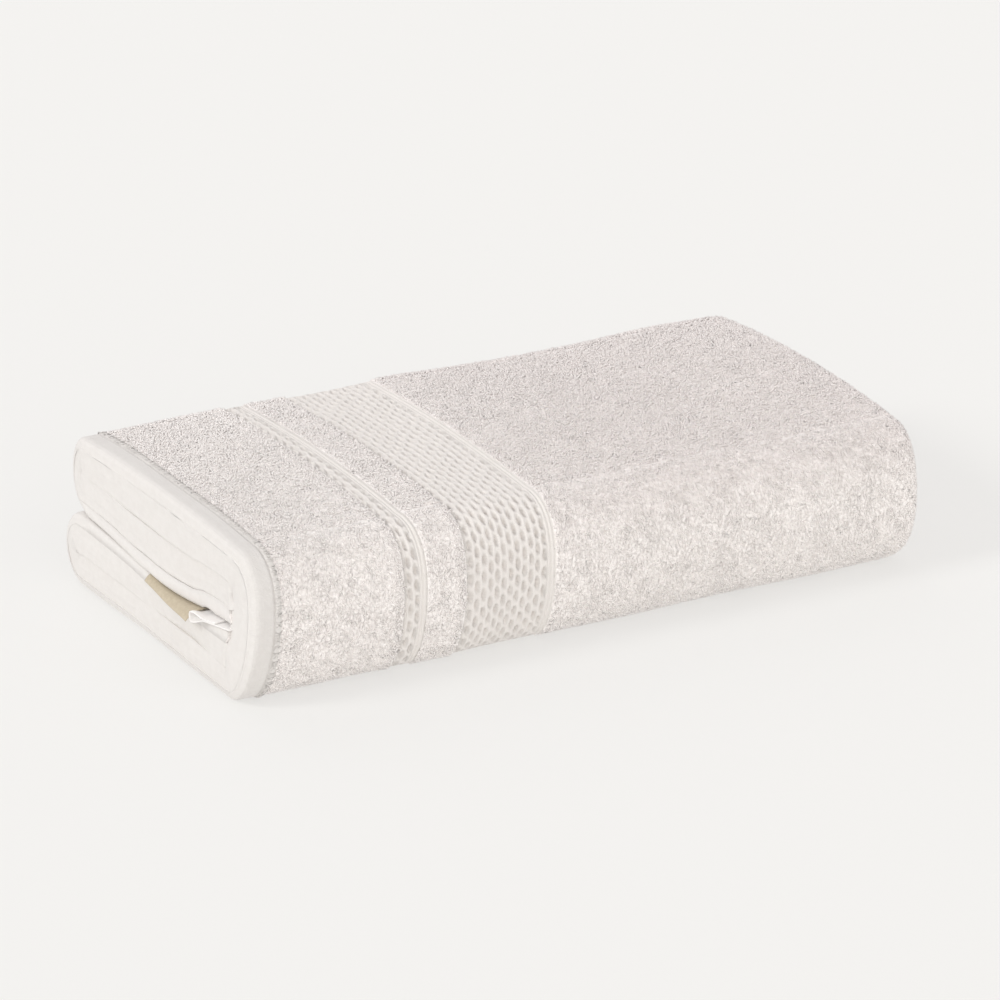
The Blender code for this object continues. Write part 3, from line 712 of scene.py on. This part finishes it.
def towel_sheet(terry, weave, hem):
    """The cloth as one closed sheet. Its front face has more columns and rows in the borders."""
    dice = np.random.default_rng(5)
    u, v = ROW_U[:, None], COLUMN_V[None, :]
    under_pile = is_pile(v) * (v < INNER_START + 0.004)
    on_fold = (v > HEM_FOLD_START - 0.002) * (v < MIDDLE_START)
    rough = dice.normal(0, 1, FRONT.shape[:2]) * (ROUGH_PILE * under_pile + ROUGH_FOLD * on_fold)
    front = FRONT + NORMALS * (relief(u, v) + rough)[..., None]
    front = front + OUTWARD[:, None] * press(u, v)[..., None]
    coarse_rows = [i for i, (_, _, coarse) in enumerate(ROWS) if coarse]
    fine = np.array([f for _, f in COLUMNS])
    wanted = np.zeros(front.shape[:2], bool)
    wanted[coarse_rows] = True
    wanted[:, fine] = True
    number = np.full(front.shape[:2], -1)
    number[wanted] = np.arange(wanted.sum())
    uv = grid_of(v * FRONT_MAP / MAP_SPAN, u * FRONT_MAP / MAP_SPAN)[wanted]
    cloth = grid_of(u, v, 0.0)[wanted]

    back_rows, back_columns = back_grid(coarse_rows)
    back_u, back_v = ROW_U[back_rows][:, None], COLUMN_V[back_columns]
    back = []
    for i in back_rows:
        back.append(face_points(*ROWS[i][:2], back_v, -1, back_half(ROW_U[i], back_v)))
    other = np.arange(len(back_rows) * len(back_columns)) + wanted.sum()
    other = other.reshape(len(back_rows), len(back_columns))
    along = BACK_MAP_START + back_u * BACK_MAP / BACK_MAP_SPAN
    back_uv = grid_of(back_v[None] * BACK_MAP / MAP_SPAN, along)
    back_cloth = grid_of(back_u, back_v[None], 0.0)

    faces, kinds = [], []
    kind_at = column_kinds()
    for j in range(len(COLUMNS) - 1):
        cells = cells_between(number, fine, coarse_rows, j)
        faces += cells
        kinds += [kind_at[j] if kind_at[j] == kind_at[j + 1] else PILE_KIND] * len(cells)
    faces += [*quads(other, turned=True)]
    back_kinds = np.where(back_v[1:] < SEAM_END, HEM_KIND, PILE_KIND)
    kinds += [*back_kinds] * (len(back_rows) - 1)
    for row, turned in ((0, False), (-1, True)):
        for j, (a, b) in enumerate(zip(back_columns, back_columns[1:])):
            ring = [*number[row, a : b + 1], other[row, j + 1], other[row, j]]
            faces.append(tuple(ring if turned else ring[::-1]))
            kinds.append(PILE_KIND)
    for column, turned in ((0, True), (-1, False)):
        for i, (a, b) in enumerate(zip(back_rows, back_rows[1:])):
            edge = [number[m, column] for m in coarse_rows if a <= m <= b]
            ring = [*edge, other[i + 1, column], other[i, column]]
            faces.append(tuple(ring if turned else ring[::-1]))
            kinds.append(HEM_KIND)
    points = np.concatenate([front[wanted], np.array(back).reshape(-1, 3)])
    uv = np.concatenate([uv, back_uv.reshape(-1, 2)])
    cloth = np.concatenate([cloth, back_cloth.reshape(-1, 3)])
    towel = add_piece("towel_cloth", points, faces, [terry, weave, hem], uv)
    towel.data.polygons.foreach_set("material_index", np.array(kinds, np.int32))
    layer = towel.data.attributes.new("cloth", "FLOAT_VECTOR", "POINT")
    layer.data.foreach_set("vector", cloth.astype(np.float32).ravel())
    return towel


# The pile: short loops of yarn lying on the ground, each a bent spindle with a ring at its middle.

RING_SIDES = 3
LOOP_POINTS = RING_SIDES + 2  # the first end, the ring and the last end
MOST_LOOPS = 32000  # in one piece
AHEAD = 0.0006  # the stretch of cloth that gives a loop its direction
LENGTHS, RADII, HEIGHTS = (0.75, 1.25), (0.8, 1.2), (0.7, 1.25)  # spreads round the sizes given
BEND = 0.28
SPOT = 0.0005  # a loop's size on its map


def loop_faces():
    """The faces of one loop."""
    last = LOOP_POINTS - 1
    faces = []
    for k in range(RING_SIDES):
        a, b = 1 + k, 1 + (k + 1) % RING_SIDES
        faces += [(0, a, b), (b, a, last)]
    return np.array(faces)


LOOP_FACES = loop_faces()


def loops(u, v, level, dice, length, radius, height, direction, spread, softness):
    """Points and normals of the loops standing at (u, v), as arrays (loop, point, axis)."""
    count = len(u)
    place, normal = on_cloth(FRONT, u, v), unit(on_cloth(NORMALS, u, v))
    ahead = on_cloth(FRONT, u, v + AHEAD) - on_cloth(FRONT, u, v - AHEAD)
    ahead = unit(ahead - normal * (ahead * normal).sum(1, keepdims=True))
    aside = np.cross(normal, ahead)
    angle = (direction + dice.normal(0, spread, count))[:, None]
    way = np.cos(angle) * ahead + np.sin(angle) * aside
    across = np.cross(normal, way)
    long = (length * dice.uniform(*LENGTHS, count))[:, None]
    thick = (radius * dice.uniform(*RADII, count))[:, None]
    high = (height * dice.uniform(*HEIGHTS, count))[:, None]
    bend = long * dice.normal(0, BEND, count)[:, None]
    dice.normal(size=count)  # not used: it keeps the later draws as they are
    level = level[:, None]
    points, facing = np.zeros((2, count, LOOP_POINTS, 3))
    for end, sign in ((0, -1), (-1, 1)):
        points[:, end] = place + normal * level + way * (sign * long / 2)
        facing[:, end] = way * sign
    centre = place + normal * (level + high) + across * bend
    side = unit(np.cross(way, normal))
    up = np.cross(side, way)
    for k in range(RING_SIDES):
        turn = 2 * math.pi * k / RING_SIDES + math.pi / 2
        out = math.cos(turn) * side + math.sin(turn) * up
        points[:, 1 + k] = centre + thick * out
        facing[:, 1 + k] = out
    return points, unit(blend(facing, normal[:, None], softness))


def add_loops(name, points, facing, u, v, material):
    """Pieces of at most MOST_LOOPS loops each, in order along the cloth."""
    order = np.argsort(v, kind="stable")
    pieces = math.ceil(len(order) / MOST_LOOPS)
    turns = np.linspace(0, 2 * math.pi, LOOP_POINTS, False)
    spot = SPOT * np.stack([np.cos(turns), np.sin(turns)], -1)
    made = []
    for i, chosen in enumerate(np.array_split(order, pieces)):
        first = (np.arange(len(chosen)) * LOOP_POINTS)[:, None, None]
        faces = (LOOP_FACES[None] + first).reshape(-1, 3)
        place = np.stack([v[chosen], u[chosen]], -1) / MAP_SPAN
        maps = (place[:, None] + spot[None]).reshape(-1, 2)
        title = name if pieces == 1 else f"{name}_{i + 1}"
        piece = add_piece(title, points[chosen].reshape(-1, 3), faces, [material], maps)
        normals = facing[chosen].reshape(-1, 3).tolist()
        piece.data.normals_split_custom_set_from_vertices(normals)
        made.append(piece)
    return made


JITTER_U, JITTER_V = 0.32, 0.28  # shares of the pitch


def scatter(u_span, v_span, pitch_u, pitch_v, dice):
    """Places of loops in staggered rows with some disorder, only where the cloth has pile."""
    across = np.arange(v_span[0], v_span[1], pitch_v)
    count = round((u_span[1] - u_span[0]) / pitch_u)
    pitch_u = (u_span[1] - u_span[0]) / count
    along = u_span[0] + pitch_u * (np.arange(count) + 0.25)
    v, u = (a.ravel() for a in np.meshgrid(across, along, indexing="ij"))
    u = u + np.repeat(np.arange(len(across)) % 2, len(along)) * pitch_u / 2
    u = u + dice.uniform(-JITTER_U, JITTER_U, len(u)) * pitch_u
    v = v + dice.uniform(-JITTER_V, JITTER_V, len(v)) * pitch_v
    keep = is_pile(v) & (u > u_span[0]) & (u < u_span[1])
    return u[keep], v[keep]


def segment_span(*numbers):
    """From where to where the segments lie along u."""
    found = np.isin(SEGMENT_OF_ROW, numbers)
    return float(ROW_U[found].min()), float(ROW_U[found].max())


ALL_ROUND = math.pi / 2  # a loop's direction: along u, where 0 is along v
SPAN, FOLD_END_SPAN = (0.009, INNER_START - 0.0055), (INNER_START - 0.0055, INNER_START + 0.002)
LOW_LOOPS = (0.00138, 0.00040, 0.00018, 0.0, 1.6, 0.04)
# name, segments, span of v, pitch along u and v, unevenness of the ground,
# loops: length, radius, height, direction, its spread, softness of the shading
PILE = (
    ("pile_far", (1,), SPAN, (0.00082, 0.00074), 0.00008, (0.00134, 0.00039, 0.00020, 0.0, 1.6, 0.04)),
    ("pile_top", (2,), SPAN, (0.00078, 0.00070), 0.00011, (0.00130, 0.00038, 0.00025, 0.0, 1.6, 0.02)),
    ("pile_near", (3,), SPAN, (0.00084, 0.00066), 0.00005, (0.00145, 0.00034, 0.00013, ALL_ROUND, 0.6, 0.09)),
    ("pile_under", (4,), SPAN, (0.00150, 0.00130), 0.00008, (0.00190, 0.00045, 0.00012, 0.0, 1.6, 0.05)),
    ("pile_far_low", (5,), SPAN, (0.00090, 0.00080), 0.00008, LOW_LOOPS),
    ("pile_fold_end", range(7), FOLD_END_SPAN, (0.00090, 0.00080), 0.00008, LOW_LOOPS),
)


def towel_pile(material):
    dice = np.random.default_rng(7)
    made = []
    for name, segments, v_span, pitches, uneven, sizes in PILE:
        u, v = scatter(segment_span(*segments), v_span, *pitches, dice)
        level = relief(u, v) + dice.normal(0, uneven, len(u))
        points, facing = loops(u, v, level, dice, *sizes)
        made += add_loops(name, points, facing, u, v, material)
    return made


# Materials.


def feed(tree, node, inputs):
    """Links or sets inputs of a node."""
    for key, value in inputs.items():
        if isinstance(value, bpy.types.NodeSocket):
            tree.links.new(value, node.inputs[key])
        else:
            node.inputs[key].default_value = value


def nodes_of(name, colour, looks):
    material = bpy.data.materials.new(name)
    material.use_nodes = True
    tree = material.node_tree
    shader = tree.nodes["Principled BSDF"]
    feed(tree, shader, {"Base Color": (*colour, 1.0), **looks})
    return material, tree, shader


def add_node(tree, kind, inputs=None, **settings):
    node = tree.nodes.new(kind)
    for key, value in settings.items():
        setattr(node, key, value)
    feed(tree, node, inputs or {})
    return node


def place_in(tree):
    return add_node(tree, "ShaderNodeTexCoord").outputs["Object"]


def noise(tree, place, scale):
    inputs = {"Vector": place, "Scale": scale, "Detail": 3.0}
    return add_node(tree, "ShaderNodeTexNoise", inputs).outputs["Fac"]


def colour_ramp(tree, share, start, end, low=0.0, high=1.0):
    """The colour start where share is low, and end where it is high."""
    ramp = add_node(tree, "ShaderNodeValToRGB", {"Fac": share})
    for element, place, colour in zip(ramp.color_ramp.elements, (low, high), (start, end)):
        element.position, element.color = place, (*colour, 1)
    return ramp.outputs["Color"]


def tone_and_shade_patches(tree, place, dark, light, scale):
    """A colour that varies between two, in patches: random tone for the weave and the labels, painted shade
    for the terry.
    """
    return colour_ramp(tree, noise(tree, place, scale), dark, light, 0.35, 0.65)


def add_bump(tree, shader, strength, distance, height):
    inputs = {"Strength": strength, "Distance": distance, "Height": height}
    feed(tree, shader, {"Normal": add_node(tree, "ShaderNodeBump", inputs).outputs["Normal"]})


def woven_bump(tree, shader, place, threads, strength, distance):
    """Two sets of threads: the bands' direction, scale, distortion and its scale for each."""
    bands = []
    for direction, scale, distortion, detail in threads:
        inputs = {"Vector": place, "Scale": scale, "Distortion": distortion, "Detail Scale": detail}
        wave = add_node(tree, "ShaderNodeTexWave", inputs, bands_direction=direction)
        bands.append(wave.outputs["Fac"])
    both = add_node(tree, "ShaderNodeMath", {0: bands[0], 1: bands[1]}, operation="ADD")
    add_bump(tree, shader, strength, distance, both.outputs[0])


# The darker terry colour is painted shade: its specks, at the terry's noise scale below, stand for the shade
# in the gaps between the loops.
TERRY, TERRY_GAP_SHADE = (1.000, 0.958, 0.940), (0.870, 0.822, 0.800)
TERRY_GAP_SHADE_SCALE, FUZZ, WEAVE_PATCHES, LABEL_PATCHES = 1150.0, 1600.0, 400.0, 900.0  # scales of noise
TERRY_LOOKS = {"Roughness": 0.95, "Sheen Weight": 0.35, "Sheen Roughness": 0.5, "Specular IOR Level": 0.2}
WEAVE_LOOKS = {"Roughness": 0.8, "Sheen Weight": 0.15, "Specular IOR Level": 0.25}
LABEL_LOOKS = {"Sheen Weight": 0.1, "Specular IOR Level": 0.35}
# Painted shade: over these spans of X and Z the terry's colour is multiplied down towards this colour,
# darkening the top towards the fold end as if less light fell there.
PAINTED_TOP_SHADE_SPANS, PAINTED_TOP_SHADE = {"X": (-0.060, 0.030), "Z": (0.030, 0.044)}, (0.955, 0.942, 0.944)
WEAVE, WEAVE_DARK = (0.824, 0.782, 0.752), (0.807, 0.764, 0.734)
HEM, HEM_DARK = (0.748, 0.717, 0.695), (0.726, 0.694, 0.671)
CLOTH_THREADS = (("X", 420.0, 0.8, 300.0), ("Y", 300.0, 1.5, 200.0))
TAN, TAN_DARK = (0.550, 0.475, 0.357), (0.500, 0.424, 0.311)
SATIN, SATIN_DARK = (0.920, 0.894, 0.878), (0.905, 0.877, 0.860)


def terry_material():
    """Terry yarn with painted shade: specks of it for the gaps between the loops, and a little more over the
    top towards the fold end, over the spans of X and Z given.
    """
    material, tree, shader = nodes_of("terry_yarn", TERRY, TERRY_LOOKS)
    place = place_in(tree)
    where = add_node(tree, "ShaderNodeSeparateXYZ", {0: place}).outputs
    shares = []
    for axis, (start, end) in PAINTED_TOP_SHADE_SPANS.items():
        span = {"Value": where[axis], "From Min": start, "From Max": end}
        shares.append(add_node(tree, "ShaderNodeMapRange", span).outputs["Result"])
    share = add_node(tree, "ShaderNodeMath", dict(enumerate(shares)), operation="MULTIPLY")
    # Painted shade: the top darkens towards the fold end.
    painted_top_shade = colour_ramp(tree, share.outputs[0], (1, 1, 1), PAINTED_TOP_SHADE)
    # Painted shade in specks, for the shade in the gaps between the loops.
    colours = {0: tone_and_shade_patches(tree, place, TERRY_GAP_SHADE, TERRY, TERRY_GAP_SHADE_SCALE), 1: painted_top_shade}
    product = add_node(tree, "ShaderNodeVectorMath", colours, operation="MULTIPLY")
    feed(tree, shader, {"Base Color": product.outputs[0]})
    add_bump(tree, shader, 0.5, 0.0003, noise(tree, place, FUZZ))
    return material


def weave_material(name, colour, dark):
    """Plain woven cotton: fine picks across, seen in the hem, the borders and their ribs."""
    material, tree, shader = nodes_of(name, colour, WEAVE_LOOKS)
    patches = tone_and_shade_patches(tree, place_in(tree), dark, colour, WEAVE_PATCHES)
    feed(tree, shader, {"Base Color": patches})
    cloth = add_node(tree, "ShaderNodeAttribute", attribute_name="cloth").outputs["Vector"]
    woven_bump(tree, shader, cloth, CLOTH_THREADS, 0.40, 0.00012)
    return material


def label_material(name, colour, dark, roughness, scale):
    """A smooth ribbon of fine threads, of the scale given."""
    material, tree, shader = nodes_of(name, colour, {"Roughness": roughness, **LABEL_LOOKS})
    place = place_in(tree)
    feed(tree, shader, {"Base Color": tone_and_shade_patches(tree, place, dark, colour, LABEL_PATCHES)})
    threads = [(direction, scale, 0.4, 1.0) for direction in "YX"]
    woven_bump(tree, shader, place, threads, 0.4, 0.00006)
    return material


# The seam: a ladder of short stitches across the strip between the hem and the pile.

STITCH_PITCH, STITCH_JITTER, STITCH_MARGIN = 0.00090, 0.00005, 0.001
STITCH_V = (SEAM_GROOVE + SEAM_END) / 2 + 0.0002
STITCH_LIFT = 0.00002
STITCH = (0.0025, 0.00034, 0.00012, 0.0, 0.05, 0.0)  # as a loop of the pile


def seam_stitches(material):
    dice = np.random.default_rng(3)
    u = np.arange(ROW_U[0] + STITCH_MARGIN, ROW_U[-1] - STITCH_MARGIN, STITCH_PITCH)
    u = u + dice.normal(0, STITCH_JITTER, len(u))
    v = np.full(len(u), STITCH_V)
    points, facing = loops(u, v, relief(u, v) + STITCH_LIFT, dice, *STITCH)
    return add_loops("seam_stitches", points, facing, u, v, material)


# The labels.

STRIP_MAP = 0.48  # the share of its map that each face of a label takes, along both sides


def closed_strip(name, front, back, material):
    """A closed mesh between two grids of points."""
    rows, columns = front.shape[:2]
    points = np.concatenate([front.reshape(-1, 3), back.reshape(-1, 3)])
    number = np.arange(rows * columns).reshape(rows, columns)
    both = [quads(number), quads(number + number.size, turned=True)]
    faces = [*np.stack(both, 1).reshape(-1, 4)]
    rim = [*number[:, 0], *number[-1, 1:], *number[-2::-1, -1], *number[0, -2:0:-1]]
    faces += [(a, b, b + number.size, a + number.size) for a, b in zip(rim, rim[1:] + rim[:1])]
    down, along = np.linspace(0, STRIP_MAP, rows), np.linspace(0, STRIP_MAP, columns)
    shares = np.stack(np.meshgrid(down, along, indexing="ij"), -1).reshape(-1, 2)
    return add_piece(name, points, faces, [material], np.concatenate([shares, shares + 0.5]))


TAN_STEPS = (61, 41)  # along Y, along X
TAN_SIZE = (0.0335, 0.0140)
TAN_HALF, TAN_EDGE = 0.00022, 0.0004  # half its thickness, which thins over its edge
TAN_LINE, TAN_LINE_AT, TAN_LINE_WIDTH = 0.00006, 0.0009, 0.0003  # a thicker line beside its edge
TAN_CURL, TAN_CURL_REACH = 0.00012, 0.004
TAN_TAUT, TAN_TAUT_REACH = 0.8, 0.003  # its outer edge is straighter than the slot


def woven_label(material):
    """It leaves the slot level, then drops a little past the hem end."""
    share, reach = np.linspace(0, 1, TAN_STEPS[0])[:, None], np.linspace(0, 1, TAN_STEPS[1])[None, :]
    y = blend(*WOVEN_LABEL_Y, share)
    out, drop = blend(*WOVEN_LABEL_OUT, share), blend(*WOVEN_LABEL_DROP, share)
    x = blend(LABEL_INSIDE, -out, reach)
    fall = drop * (np.minimum(0.0, x) / out) ** 2
    curl = TAN_CURL * np.sin(share * 9 + 0.6) * smooth_step(0.0, -TAN_CURL_REACH, x)
    chord = blend(*(slot_height(HEM_X, end) for end in WOVEN_LABEL_Y), share)
    taut = (chord - slot_height(HEM_X, y)) * smooth_step(0.0, -TAN_TAUT_REACH, x)
    z = slot_height(HEM_X + x, y) - fall + curl + TAN_TAUT * taut
    edge = np.minimum(np.minimum(share, 1 - share) * TAN_SIZE[0], (1 - reach) * TAN_SIZE[1])
    half = TAN_HALF * np.sqrt(np.clip(edge / TAN_EDGE, 0.1, 1))
    half = half + TAN_LINE * np.exp(-(((edge - TAN_LINE_AT) / TAN_LINE_WIDTH) ** 2))
    faces = [grid_of(HEM_X + x, y, z + side * half) + TO_FRAME for side in (1, -1)]
    return closed_strip("tan_label", *faces, material)


LEAF_HALF, LEAST_OPEN = 0.00020, 0.00026  # half a layer's thickness, and half the gap left inside
CURL, CURL_REACH = 0.0004, 0.003  # the fold stands wider than the layers
FOLD_OPENS = (0.0005, -0.0042)  # along X, from inside the slot outwards
FOLD_FLAT = 0.2  # share of its height that the fold has inside
LEAF_STEPS, OUT_STEPS = 25, 33


def care_label_path():
    """(y, middle's height, height over it, normal y, normal z), from upper to lower end."""
    steps = np.linspace(0, 1, LEAF_STEPS)
    upper, lower = CARE_LABEL_LEAVES
    ends = ((CARE_LABEL_UPPER_END_Y, 0, 1.0), (CARE_LABEL_LOWER_END_Y, 1, -1.0))
    layers = []
    for end, layer, sign in ends:
        layers.append([])
        for y in blend(end, CARE_LABEL_FOLD_Y, steps):
            leaves = care_leaves(y)
            middle = sum(leaves) / 2
            curl = sign * CURL * math.exp(-(((y - CARE_LABEL_FOLD_Y) / CURL_REACH) ** 2))
            layers[-1].append((y, middle, leaves[layer] - middle + curl, 0.0, sign))
    fold = []
    for step in steps[1:-1]:
        across, up = math.sin(math.pi * step), math.cos(math.pi * step)
        y = CARE_LABEL_FOLD_Y + (upper - lower) / 2 * across
        fold.append((y, (upper + lower) / 2, ((upper - lower) / 2 + CURL) * up, across, up))
    return layers[0] + fold + layers[1][::-1]


def care_label(material):
    """Two layers and the round fold between them, wide open at its outer end and flat inside."""
    reach = np.linspace(0, 1, OUT_STEPS)
    grids = []
    for side in (1, -1):
        grid = []
        for y, middle, height, normal_y, normal_z in care_label_path():
            along = (y - CARE_LABEL_FOLD_Y) / (CARE_LABEL_LOWER_END_Y - CARE_LABEL_FOLD_Y)
            x = HEM_X + blend(LABEL_INSIDE, -blend(*CARE_LABEL_OUT, max(0.0, along)), reach)
            opened = blend(FOLD_FLAT, 1.0, smooth_step(*FOLD_OPENS, x - HEM_X))
            least = min(abs(height), LEAST_OPEN)
            off = np.sign(height) * np.maximum(abs(height) * opened, least)
            face_y = y + side * LEAF_HALF * normal_y
            z = slot_height(x, face_y) + middle + off + side * LEAF_HALF * normal_z
            grid.append(grid_of(x, face_y, z) + TO_FRAME)
        grids.append(np.array(grid))
    return closed_strip("care_label_folded", *grids, material)


# The stage: camera, floor and light.

LOOK_AT = Vector((0.0035, 0.0, 0.02686))
AZIMUTH, ELEVATION, DISTANCE = -29.14, 22.13, 2.1440
LENS, SENSOR = 247.3, 36.0
SHIFT = (-0.00037, -0.00889)


def add_camera():
    data = bpy.data.cameras.new("camera")
    data.lens, data.sensor_width = LENS, SENSOR
    data.shift_x, data.shift_y = SHIFT
    data.clip_start, data.clip_end = 0.05, 50
    camera = add_item("camera", data)
    a, e = math.radians(AZIMUTH), math.radians(ELEVATION)
    back = Vector((math.sin(a) * math.cos(e), -math.cos(a) * math.cos(e), math.sin(e)))
    camera.location = LOOK_AT + back * DISTANCE
    camera.rotation_mode = "QUATERNION"
    camera.rotation_quaternion = (-back).to_track_quat("-Z", "Y")
    bpy.context.scene.camera = camera


# The floor glows as a table that is lit from below, as for catalogue pictures.
FLOOR, FLOOR_GLOW, FLOOR_GLOW_STRENGTH = (0.330, 0.326, 0.318), (1.0, 0.99, 0.972), 0.555
FLOOR_SIZE, FLOOR_DROP = 6.0, 0.0002  # it lies just under the towel


def add_floor():
    data = bpy.data.meshes.new("floor")
    s = FLOOR_SIZE / 2
    data.from_pydata([(-s, -s, 0), (s, -s, 0), (s, s, 0), (-s, s, 0)], [], [(0, 1, 2, 3)])
    looks = {"Roughness": 0.9, "Specular IOR Level": 0.1}
    looks |= {"Emission Color": (*FLOOR_GLOW, 1), "Emission Strength": FLOOR_GLOW_STRENGTH}
    data.materials.append(nodes_of("floor_paper", FLOOR, looks)[0])
    floor = add_item("floor", data)
    floor.location.z = -FLOOR_DROP


SKY_LOW, SKY_HIGH, SKY_BAND = (0.92, 0.92, 0.905), (0.60, 0.583, 0.592), (0.15, 0.85)
# name, where from, angle, strength, colour
SUNS = (
    ("key", Vector((-0.82, 0.06, 0.54)), 18.0, 1.16, (0.985, 1.0, 0.985)),
    ("fill", Vector((-0.10, -0.95, 0.14)), 90.0, 1.13, (1.0, 0.998, 0.952)),
    ("back", Vector((0.05, 0.80, 0.62)), 45.0, 0.28, (1.0, 0.99, 0.98)),
)


def add_light():
    world = bpy.data.worlds.new("studio")
    bpy.context.scene.world = world
    world.use_nodes = True
    tree = world.node_tree
    background = tree.nodes["Background"]
    way = add_node(tree, "ShaderNodeTexCoord").outputs["Generated"]
    height = add_node(tree, "ShaderNodeSeparateXYZ", {0: way}).outputs["Z"]
    sky = colour_ramp(tree, height, SKY_LOW, SKY_HIGH, *SKY_BAND)
    tree.links.new(sky, background.inputs["Color"])
    for name, source, angle, strength, colour in SUNS:
        data = bpy.data.lights.new(name, "SUN")
        data.angle, data.energy, data.color = math.radians(angle), strength, colour
        sun = add_item(name, data)
        sun.location = source
        sun.rotation_mode = "QUATERNION"
        sun.rotation_quaternion = (-source).to_track_quat("-Z", "Y")


terry, weave = terry_material(), weave_material("border_weave", WEAVE, WEAVE_DARK)
hem = weave_material("hem_weave", HEM, HEM_DARK)
tan = label_material("tan_ribbon", TAN, TAN_DARK, 0.7, 700.0)
satin = label_material("white_satin", SATIN, SATIN_DARK, 0.55, 900.0)

towel = towel_sheet(terry, weave, hem)
pile = towel_pile(terry)
stitches = seam_stitches(hem)
tan_label, folded_label = woven_label(tan), care_label(satin)

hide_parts("towel")
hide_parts("woven_label")
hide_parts("care_label")
for piece in (towel, *pile, *stitches):
    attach(piece, "root")
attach(tan_label, "root")
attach(folded_label, "root")

add_camera()
add_floor()
add_light()
bpy.context.scene.view_settings.view_transform = "Standard"
bpy.context.scene.view_settings.look = "None"
